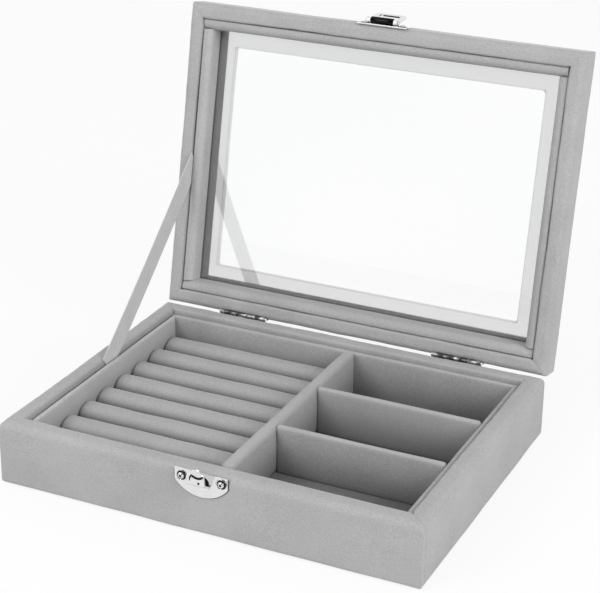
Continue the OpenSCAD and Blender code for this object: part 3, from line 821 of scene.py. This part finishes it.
class RINGBOX_OT_lid_liners(bpy.types.Operator):
    """Velvet cards that stand along the lid's walls and hold the glass."""

    bl_idname = "ringbox.lid_liners"
    bl_label = "Lid Liners"

    crown: FloatProperty(name="Crown", description="Rounding towards the window", default=3.4 * MM,
                         unit="LENGTH")

    def execute(self, context):
        for seed, side in enumerate(("front", "back", "left", "right")):
            node = "lid_liner_" + side
            lo, hi = beside_slot(side, *shut_box(node), 0 if side == "left" else -0.3 * MM)
            bm = cuboid(lo, hi)
            axis, sign = wall_side(side)
            inner = lo[axis] if sign > 0 else hi[axis]
            outer = hi[axis] if sign > 0 else lo[axis]
            for across, height, radius, segments in ((inner, lo.z, self.crown, 8), (inner, hi.z, 0.9 * MM, 3),
                                                     (outer, lo.z, 0.7 * MM, 3)):
                round_edges(bm, self.edges_at(bm, axis, across, height), radius, segments)
            key = "painted_light_left_lid_lining" if side == "left" else "lid_lining"
            finish_card("lid_card_" + side, node, bm, lo, hi, "lid", key, 13 + seed)
        return {"FINISHED"}

    def edges_at(self, bm, axis, across, height):
        """Edges along a card at a place across it and a height."""
        def there(v):
            return abs(v.co[axis] - across) < SAME and abs(v.co.z - height) < SAME
        return [e for e in bm.edges if all(there(v) for v in e.verts)]


class RINGBOX_OT_dividers(bpy.types.Operator):
    """The long divider and the cross dividers."""

    bl_idname = "ringbox.dividers"
    bl_label = "Dividers"

    def execute(self, context):
        base_card("long_divider", "center_divider", *node_box("center_divider"), "lining", 23, 2 * MM,
                  height=0.3 * MM)
        crosses = sorted(n for n in frame["nodes"] if n.startswith("cross_divider_"))
        for seed, node in enumerate(crosses):
            base_card(node.replace("divider", "card"), node, *node_box(node), "lining", 24 + seed, 1.1 * MM)
        return {"FINISHED"}


class RINGBOX_OT_floor_lining(bpy.types.Operator):
    """The lining on the floor and the felt sheet underneath."""

    bl_idname = "ringbox.floor_lining"
    bl_label = "Floor and Underside"

    def execute(self, context):
        base_card("floor_card", "base_floor_lining", *node_box("base_floor_lining"), "lining", 31, 0.5 * MM,
                  height=0.05 * MM)
        lo, hi = node_box("base_under_sheet")
        bm = cuboid(lo, Vector((hi.x, hi.y, lo.z + 0.5 * MM)))
        round_edges(bm, uprights(bm), 3 * MM, 5)
        low_edges = [e for e in bm.edges if all(v.co.z < lo.z + 0.1 * MM for v in e.verts)]
        round_edges(bm, low_edges, 0.15 * MM, 2)
        sheet = make_piece("under_felt", bm, "base", finish_of("felt"), ("base_under_sheet",))
        return {"FINISHED"}


class RINGBOX_OT_ring_rolls(bpy.types.Operator):
    """Foam rolls wrapped in velvet, side by side."""

    bl_idname = "ringbox.ring_rolls"
    bl_label = "Ring Rolls"

    end_radius: FloatProperty(name="End radius", description="Rounding of a roll's ends", default=2.4 * MM,
                              unit="LENGTH")
    turns: IntProperty(name="Steps", description="Steps round a roll", default=40)

    def execute(self, context):
        nodes = sorted(n for n in frame["nodes"] if n.startswith("ring_roll_"))
        for seed, node in enumerate(nodes):
            bm = self.roll(*node_box(node), seed)
            piece = make_piece(node.replace("ring_roll", "velvet_roll"), bm, "base", finish_of("roll"),
                               (node,), 60)
        return {"FINISHED"}

    def roll(self, lo, hi, seed):
        """One roll, spun from half its outline and cut flat where it is glued down."""
        radius = (hi.y - lo.y) / 2
        middle = Vector((0, (lo.y + hi.y) / 2, hi.z - radius))
        outline = [(lo.x, 0.0), (lo.x, radius - self.end_radius)]
        for i in range(1, 6):
            a = math.radians(90) * i / 5
            outline.append((lo.x + self.end_radius * (1 - math.cos(a)),
                            radius - self.end_radius * (1 - math.sin(a))))
        outline += [(lo.x + hi.x - x, r) for x, r in reversed(outline)]
        bm = bmesh.new()
        lathe(bm, [middle + Vector((x, r, 0)) for x, r in outline], middle, (1, 0, 0), self.turns)
        bmesh.ops.remove_doubles(bm, verts=bm.verts, dist=SAME)
        dice(bm, 4 * MM, axes=(0,))
        bmesh.ops.recalc_face_normals(bm, faces=bm.faces)
        ripple(bm, -0.2 * MM, 14 * MM, 40 + seed)
        edges = [e for e in cut(bm, lo, (0, 0, -1), clear=True) if isinstance(e, bmesh.types.BMEdge)]
        bmesh.ops.edgeloop_fill(bm, edges=edges)
        return bm


class RINGBOX_OT_ribbon_stay(bpy.types.Operator):
    """Ribbon that stops the open lid, with its ends tucked into the slots."""

    bl_idname = "ringbox.ribbon_stay"
    bl_label = "Ribbon Stay"

    width: FloatProperty(name="Width", description="Width of the ribbon", default=11 * MM, unit="LENGTH")
    thickness: FloatProperty(name="Thickness", description="Thickness of the ribbon", default=0.3 * MM,
                             unit="LENGTH")
    sag: FloatProperty(name="Sag", description="Sag in the middle of the span", default=0.6 * MM,
                       unit="LENGTH")
    tuck: FloatProperty(name="Tuck", description="Length glued in each slot", default=6 * MM, unit="LENGTH")
    place: FloatProperty(name="Place", description="Distance from the sides' middle towards the hinges",
                         default=6.5 * MM, unit="LENGTH")
    steps: IntProperty(name="Steps", description="Steps along the ribbon", default=48)

    def execute(self, context):
        lo, hi = node_box("base_velvet_cover")
        slot = lo.x + SLOT / 2 + BASE_WALL
        foot = Vector((slot, self.place, hi.z))
        head = OPENED @ Vector((slot, self.place, shut_box("lid_velvet_cover")[0].z))
        chord = head - foot
        span = chord.length
        along = chord.normalized()
        across = Vector((1, 0, 0)).cross(along)
        bm = bmesh.new()
        start = foot - along * self.tuck
        ends = [bm.verts.new(start + across * self.width * half) for half in (-0.5, 0.5)]
        edge = bm.edges.new(ends)
        total = span + 2 * self.tuck
        before = 0.0
        for i in range(1, self.steps + 1):
            grown = bmesh.ops.extrude_edge_only(bm, edges=[edge])["geom"]
            edge = next(g for g in grown if isinstance(g, bmesh.types.BMEdge))
            t = clamped((total * i / self.steps - self.tuck) / span)
            drop = 4 * self.sag * t * (1 - t)
            bmesh.ops.translate(bm, verts=edge.verts[:],
                                vec=along * total / self.steps - across * (drop - before))
            before = drop
        bmesh.ops.recalc_face_normals(bm, faces=bm.faces)
        threads = bm.loops.layers.uv.new("threads")
        for face in bm.faces:
            for loop in face.loops:
                offset = loop.vert.co - foot
                loop[threads].uv = (offset.dot(along), offset.dot(across))
        bmesh.ops.solidify(bm, geom=bm.faces[:], thickness=self.thickness)
        shift = foot.x - sum(v.co.x for v in bm.verts) / len(bm.verts)
        bmesh.ops.translate(bm, verts=bm.verts, vec=(shift, 0, 0))
        # The lid's slot lies nearer the outside than the base's, so the ribbon leans to it.
        for v in bm.verts:
            v.co.x += (LID_WALL - BASE_WALL) * (v.co - foot).dot(along) / span
        piece = make_piece("ribbon", bm, None, finish_of("ribbon"), ("ribbon_stay",))
        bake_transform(piece)
        return {"FINISHED"}


class RINGBOX_OT_boards(bpy.types.Operator):
    """Fibreboard walls and bottom inside the covering."""

    bl_idname = "ringbox.boards"
    bl_label = "Boards"

    def execute(self, context):
        for name in sorted(frame["nodes"]):
            if name.endswith("_board"):
                dress_node(name, finish_of("board"))
        return {"FINISHED"}


class RINGBOX_OT_glass(bpy.types.Operator):
    """The glass pane in the lid."""

    bl_idname = "ringbox.glass"
    bl_label = "Glass Pane"

    def execute(self, context):
        dress_node("glass_pane", finish_of("glass"))
        return {"FINISHED"}


class RINGBOX_OT_hinges(bpy.types.Operator):
    """Hinge leaves, pins and nails."""

    bl_idname = "ringbox.hinges"
    bl_label = "Hinges"

    def execute(self, context):
        edge = context.scene.ring_box_metal.edge
        for side in ("left", "right"):
            for shell in ("base", "lid"):
                dress_node(f"hinge_{side}_{shell}_leaf", finish_of("painted_reflection"), edge)
            dress_node(f"hinge_{side}_pin", finish_of("wire"), edge)
        for name in ("hinge_base_nails", "hinge_lid_nails"):
            dress_node(name, finish_of("wire"), edge)
        return {"FINISHED"}


def dark_spot(bm, centre, wide, high):
    """Adds a thin round disc that faces the front."""
    loop = [bm.verts.new(centre + Vector((wide * math.cos(a), 0, high * math.sin(a))))
            for a in (math.radians(15 * i) for i in range(24))]
    thicken(bm, [bm.faces.new(loop)], 0.06 * MM)


def ring_nails(name, node, body, lo, hi):
    """Two nails with a domed head and a small pit in its middle."""
    bm = bmesh.new()
    for x in (lo.x + NAIL_HEAD, hi.x - NAIL_HEAD):
        middle = Vector((x, hi.y - NAIL_LENGTH, (lo.z + hi.z) / 2))
        places = [middle + Vector((r * MM, -h * MM, 0)) for r, h in NAIL_OUTLINE]
        lathe(bm, places, middle, (0, 1, 0), 32)
    bmesh.ops.remove_doubles(bm, verts=bm.verts, dist=SAME)
    make_piece(name, bm, body, finish_of("wire"), (node,), 50)


def hasp_axis():
    """Place of the hasp's pin on the open lid."""
    return Vector(next(j for j in frame["joints"] if j["name"] == "hasp_pivot")["pos_m"])


class RINGBOX_OT_catch(bpy.types.Operator):
    """Half-round catch plate with its hook and nails."""

    bl_idname = "ringbox.catch"
    bl_label = "Catch"

    thickness: FloatProperty(name="Thickness", description="Thickness of the hook", default=0.9 * MM,
                             unit="LENGTH")
    recess: FloatProperty(name="Recess", description="Depth of the round recess in the hook's tip",
                          default=0.1 * MM, unit="LENGTH")

    def execute(self, context):
        dress_node("catch_plate", finish_of("nickel"), context.scene.ring_box_metal.edge)
        ring_nails("catch_nail_pair", "catch_nails", "base", *node_box("catch_nails"))
        lo, hi = node_box("catch_hook")
        tongue = self.hook(lo, hi)
        make_piece("hook_tongue", tongue, "base", finish_of("nickel"), ("catch_hook",), 50)
        self.painted_shade_marks(lo, hi)
        self.painted_plate_shadow()
        return {"FINISHED"}

    def hook(self, lo, hi):
        """The tongue: riveted flat, bent out from the plate and upright again, with a round tip."""
        middle, half = (lo.x + hi.x) / 2, (hi.x - lo.x) / 2
        back, out = hi.y - self.thickness / 2, lo.y + self.thickness / 2
        bends = [(back, lo.z), (back, lo.z + FOOT), (out, lo.z + SHOULDER), (out, hi.z - TIP),
                 (out + TIP_LEAN, hi.z)]
        path = []
        for (y0, z0), (y1, z1) in zip(bends, bends[1:]):
            count = max(2, round(math.hypot(y1 - y0, z1 - z0) / (0.25 * MM)))
            path += [(y0 + (y1 - y0) * i / count, z0 + (z1 - z0) * i / count) for i in range(count)]
        path.append(bends[-1])
        for _ in range(3):
            path = [path[0]] + [tuple((a + 2 * b + c) / 4 for a, b, c in zip(*three))
                                for three in zip(path, path[1:], path[2:])] + [path[-1]]
        bm = bmesh.new()
        front, rear = [], []
        for i, (y, z) in enumerate(path):
            before, after = path[max(0, i - 1)], path[min(len(path) - 1, i + 1)]
            along = Vector((0, after[0] - before[0], after[1] - before[1])).normalized()
            outwards = Vector((1, 0, 0)).cross(along)
            outwards *= -1 if outwards.y > 0 else 1
            reach = self.half_width(z, lo.z, hi.z, half)
            front.append([])
            rear.append([])
            for x in self.columns(reach):
                place = Vector((middle + x, y, z))
                rise = self.thickness / 2 - self.recessed(x, z, hi.z) - self.rounded(reach - abs(x))
                front[-1].append(bm.verts.new(place + outwards * rise))
                rear[-1].append(bm.verts.new(place - outwards * self.thickness / 2))
        for rows in (front, rear):
            for one, two in zip(rows, rows[1:]):
                for i in range(len(one) - 1):
                    bm.faces.new((one[i], one[i + 1], two[i + 1], two[i]))
        bmesh.ops.bridge_loops(bm, edges=[e for e in bm.edges if e.is_boundary])
        return bm

    def half_width(self, z, low, high, half):
        """Half the tongue's width at a height, with rounded lower corners and a round tip."""
        width = half
        if z < low + TONGUE_CORNER:
            drop = low + TONGUE_CORNER - z
            width = half - TONGUE_CORNER + math.sqrt(max(0, TONGUE_CORNER ** 2 - drop ** 2))
        if z > high - half:
            width = math.sqrt(max(0, half ** 2 - (z - high + half) ** 2))
        return max(width, 0.5 * MM)

    def columns(self, reach):
        """Places across the tongue, closer together at its edges."""
        near = [0, 0.08 * MM, 0.2 * MM, TONGUE_EDGE]
        inner = reach - near[-1]
        count = 26
        sides = [reach - n for n in near[:-1]]
        return [-x for x in sides] + [-inner + 2 * inner * i / count for i in range(count + 1)] + sides[::-1]

    def rounded(self, away):
        """Drop of the front face towards the tongue's edge."""
        short = max(0, TONGUE_EDGE - away)
        return TONGUE_EDGE - math.sqrt(max(0, TONGUE_EDGE ** 2 - short ** 2))

    def recessed(self, x, z, high):
        """Depth of the round recess that ends in an arc below the tip."""
        away = math.hypot(x, z - high - 0.4 * MM)
        return self.recess * clamped((RECESS_RADIUS - away) / (0.8 * MM))

    def painted_shade_marks(self, lo, hi):
        """Painted shade: the tongue's opening, dark lines and pit, and the nails' sunk rings and pits."""
        middle = (lo.x + hi.x) / 2
        bm = bmesh.new()
        dark_spot(bm, Vector((middle, hi.y - 0.03 * MM, lo.z + OPENING_RISE)), *OPENING_SIZE)
        pit = Vector((middle + PIT_PLACE[0], lo.y - 0.04 * MM, hi.z + PIT_PLACE[1]))
        dark_spot(bm, pit, PIT_RADIUS, PIT_RADIUS)
        for line, width in ((SMILE, 1.0 * MM), (LEFT_HORN, 0.8 * MM)):
            places = [Vector((middle + x * MM, 0, hi.z + z * MM)) for x, z in line]
            self.painted_dark_line(bm, places, width, lo, hi)
        left, right = node_box("catch_nails")
        plate = node_box("catch_plate")[0].y
        for x in (left.x + NAIL_HEAD, right.x - NAIL_HEAD):
            z = (left.z + right.z) / 2
            ring = Vector((x + RING_SHIFT[0], plate - 0.02 * MM, z + RING_SHIFT[1]))
            dark_spot(bm, ring, RING_RADIUS, RING_RADIUS)
            dark_spot(bm, Vector((x, right.y - NAIL_LENGTH - 0.9 * MM, z)), NAIL_PIT, NAIL_PIT)
        make_piece("catch_painted_shade_marks", bm, "base", finish_of("painted_shade_marks"))

    def painted_dark_line(self, bm, line, width, lo, hi):
        """A painted dark line on the tongue's face, which leans back below its bend."""
        rows = []
        for i, point in enumerate(line):
            step = line[min(i + 1, len(line) - 1)] - line[max(i - 1, 0)]
            side = Vector((-step.z, 0, step.x)).normalized() * width / 2
            taper = 0.35 if i in (0, len(line) - 1) else 1
            lean = clamped((lo.z + SHOULDER - point.z) / (SHOULDER - FOOT)) * (hi.y - self.thickness - lo.y)
            rows.append([bm.verts.new((point.x + side.x * s * taper, lo.y + lean - 0.05 * MM,
                                       point.z + side.z * s * taper)) for s in (-1, 1)])
        thicken(bm, [bm.faces.new((a[0], a[1], b[1], b[0])) for a, b in zip(rows, rows[1:])], 0.2 * MM)

    def painted_plate_shadow(self):
        """Dark grey velvet just behind the plate's edge, as painted contact shadow round it."""
        lo, hi = node_box("catch_plate")
        half, tall = (hi.x - lo.x) / 2, hi.z - lo.z
        radius = (half ** 2 + (tall - PLATE_SIDE) ** 2) / (2 * (tall - PLATE_SIDE))
        middle = Vector(((lo.x + hi.x) / 2, 0, lo.z + radius))
        reach = math.asin(half / radius)
        left, right = lo.x - PLATE_SHADOW, hi.x + PLATE_SHADOW
        outline = [Vector((left, 0, hi.z - MM)), Vector((left, 0, hi.z - PLATE_SIDE))]
        for i in range(25):
            a = -reach + 2 * reach * i / 24
            outline.append(middle + Vector((math.sin(a), 0, -math.cos(a))) * (radius + PLATE_SHADOW))
        outline += [Vector((right, 0, hi.z - PLATE_SIDE)), Vector((right, 0, hi.z - MM))]
        bm = bmesh.new()
        face = bm.faces.new([bm.verts.new(Vector((v.x, hi.y - 0.25 * MM, v.z))) for v in outline])
        thicken(bm, [face], 0.4 * MM)
        make_piece("painted_plate_shadow", bm, "base", finish_of("pressed"))


class RINGBOX_OT_hasp(bpy.types.Operator):
    """Half-round plate on the lid with the hinged flap."""

    bl_idname = "ringbox.hasp"
    bl_label = "Hasp"

    def execute(self, context):
        edge = context.scene.ring_box_metal.edge
        dress_node("hasp_plate", finish_of("barrel"), edge)
        dress_node("hasp_flap", finish_of("nickel"), edge)
        dress_node("hasp_pin", finish_of("wire"), edge)
        ring_nails("hasp_nail_pair", "hasp_nails", "lid", *shut_box("hasp_nails"))
        return {"FINISHED"}


class RINGBOX_OT_stage(bpy.types.Operator):
    """White floor, white room, two soft lamps and the camera."""

    bl_idname = "ringbox.stage"
    bl_label = "Stage"

    def execute(self, context):
        self.floor(context)
        self.room(context)
        self.lamps(context)
        self.camera(context)
        context.scene.view_settings.view_transform = "Standard"
        return {"FINISHED"}

    def floor(self, context):
        """A white floor that shows as white and keeps a soft part of the shadow."""
        bm = bmesh.new()
        half = context.scene.ring_box_stage.floor_size / 2
        bmesh.ops.create_grid(bm, x_segments=1, y_segments=1, size=half)
        mesh = bpy.data.meshes.new("floor")
        bm.to_mesh(mesh)
        bm.free()
        floor = bpy.data.objects.new("floor", mesh)
        context.scene.collection.objects.link(floor)
        material, tree, shader, _ = material_start("white_floor")
        shader.inputs["Base Color"].default_value = (*linear("#E7E7E7"), 1)
        shader.inputs["Roughness"].default_value = 1.0
        shader.inputs["Specular IOR Level"].default_value = 0.0
        glow = add(tree, "ShaderNodeEmission", {"Color": (1, 1, 1, 1), "Strength": 1.0})
        share = combined(tree, "MULTIPLY", seen_directly(tree), 0.85)
        mix = add(tree, "ShaderNodeMixShader", {0: share, 1: shader.outputs[0], 2: glow.outputs[0]})
        tree.links.new(mix.outputs[0], tree.nodes["Material Output"].inputs["Surface"])
        mesh.materials.append(material)

    def room(self, context):
        """A white room with one dark side, which only metal mirrors."""
        world = bpy.data.worlds.new("white_room")
        world.use_nodes = True
        tree = world.node_tree
        plain = tree.nodes["Background"]
        plain.inputs["Color"].default_value = (1, 1, 1, 1)
        plain.inputs["Strength"].default_value = context.scene.ring_box_stage.ambient
        way = add(tree, "ShaderNodeTexCoord").outputs["Generated"]
        height = add(tree, "ShaderNodeSeparateXYZ", {0: way}).outputs["Z"]
        facing = add(tree, "ShaderNodeVectorMath", {0: way, 1: (0.35, -0.94, 0)}, operation="DOT_PRODUCT")
        front = ranged(tree, facing.outputs["Value"], (0.2, 0.3))
        band = combined(tree, "MULTIPLY", ranged(tree, height, (0.2, 0.26)), ranged(tree, height, (0.8, 0.7)))
        mirrored = add(tree, "ShaderNodeLightPath").outputs["Is Glossy Ray"]
        dark = combined(tree, "MULTIPLY", combined(tree, "MULTIPLY", band, front), mirrored)
        level = ranged(tree, dark, wanted=(1.0, 0.02))
        white = add(tree, "ShaderNodeBackground", {"Color": (1, 1, 1, 1), "Strength": level})
        mix = add(tree, "ShaderNodeMixShader",
                  {0: seen_directly(tree), 1: plain.outputs[0], 2: white.outputs[0]})
        tree.links.new(mix.outputs[0], tree.nodes["World Output"].inputs["Surface"])
        context.scene.world = world

    def lamps(self, context):
        """Two large soft lamps, one on the right and one in front on the left."""
        stage = context.scene.ring_box_stage
        for name, power, place in (("right_lamp", stage.right_power, (1.3, -0.45, 0.8)),
                                   ("left_lamp", stage.left_power, (-0.6, -1.1, 1.0))):
            data = bpy.data.lights.new(name, "AREA")
            data.energy = power
            data.shape = "DISK"
            data.size = 0.8
            lamp = bpy.data.objects.new(name, data)
            lamp.location = place
            aim = Vector((0, 0, 0.05)) - Vector(place)
            lamp.rotation_euler = aim.to_track_quat("-Z", "Y").to_euler()
            context.scene.collection.objects.link(lamp)

    def camera(self, context):
        """The camera at the place that the picture was taken from."""
        stage = context.scene.ring_box_stage
        data = bpy.data.cameras.new("camera")
        data.lens = stage.lens
        data.sensor_fit = "HORIZONTAL"
        data.sensor_width = 36
        camera = bpy.data.objects.new("camera", data)
        turn = Matrix.Rotation(stage.camera_turn, 4, "Z")
        tilt = Matrix.Rotation(stage.camera_tilt, 4, "X")
        roll = Matrix.Rotation(stage.camera_roll, 4, "Z")
        camera.matrix_world = Matrix.Translation(stage.camera_place) @ turn @ tilt @ roll
        context.scene.collection.objects.link(camera)
        context.scene.camera = camera


def seen_directly(tree):
    """One for rays from the camera, from mirrors and through glass, and zero for the rest."""
    path = add(tree, "ShaderNodeLightPath").outputs
    first = combined(tree, "MAXIMUM", path["Is Camera Ray"], path["Is Glossy Ray"])
    return combined(tree, "MAXIMUM", first, path["Is Transmission Ray"])


class RINGBOX_PT_panel(bpy.types.Panel):
    """Buttons for the pieces of the ring display box."""

    bl_idname = "RINGBOX_PT_panel"
    bl_label = "Ring Display Box"
    bl_space_type = "VIEW_3D"
    bl_region_type = "UI"
    bl_category = "Ring Box"

    def draw(self, context):
        for key, cls in SETTINGS.items():
            box = self.layout.box()
            for name in cls.__annotations__:
                box.prop(getattr(context.scene, key), name)
        for operator in OPERATORS:
            self.layout.operator(operator.bl_idname)


SETTINGS = {"ring_box_fabric": RingBoxFabric, "ring_box_metal": RingBoxMetal, "ring_box_stage": RingBoxStage}
OPERATORS = (RINGBOX_OT_stage, RINGBOX_OT_base_covering, RINGBOX_OT_lid_covering, RINGBOX_OT_base_liners,
             RINGBOX_OT_lid_liners, RINGBOX_OT_dividers, RINGBOX_OT_floor_lining, RINGBOX_OT_ring_rolls,
             RINGBOX_OT_ribbon_stay, RINGBOX_OT_boards, RINGBOX_OT_glass, RINGBOX_OT_hinges, RINGBOX_OT_catch,
             RINGBOX_OT_hasp)
CLASSES = (*SETTINGS.values(), *OPERATORS, RINGBOX_PT_panel)


def register():
    """Registers the classes and the settings."""
    for cls in CLASSES:
        bpy.utils.register_class(cls)
    for name, cls in SETTINGS.items():
        setattr(bpy.types.Scene, name, PointerProperty(type=cls))


def unregister():
    """Removes the settings and the classes."""
    for name in SETTINGS:
        delattr(bpy.types.Scene, name)
    for cls in reversed(CLASSES):
        bpy.utils.unregister_class(cls)


def main():
    register()
    for cls in OPERATORS:
        group, name = cls.bl_idname.split(".")
        getattr(getattr(bpy.ops, group), name)()
    bpy.context.view_layer.update()


if __name__ == "__main__":
    main()
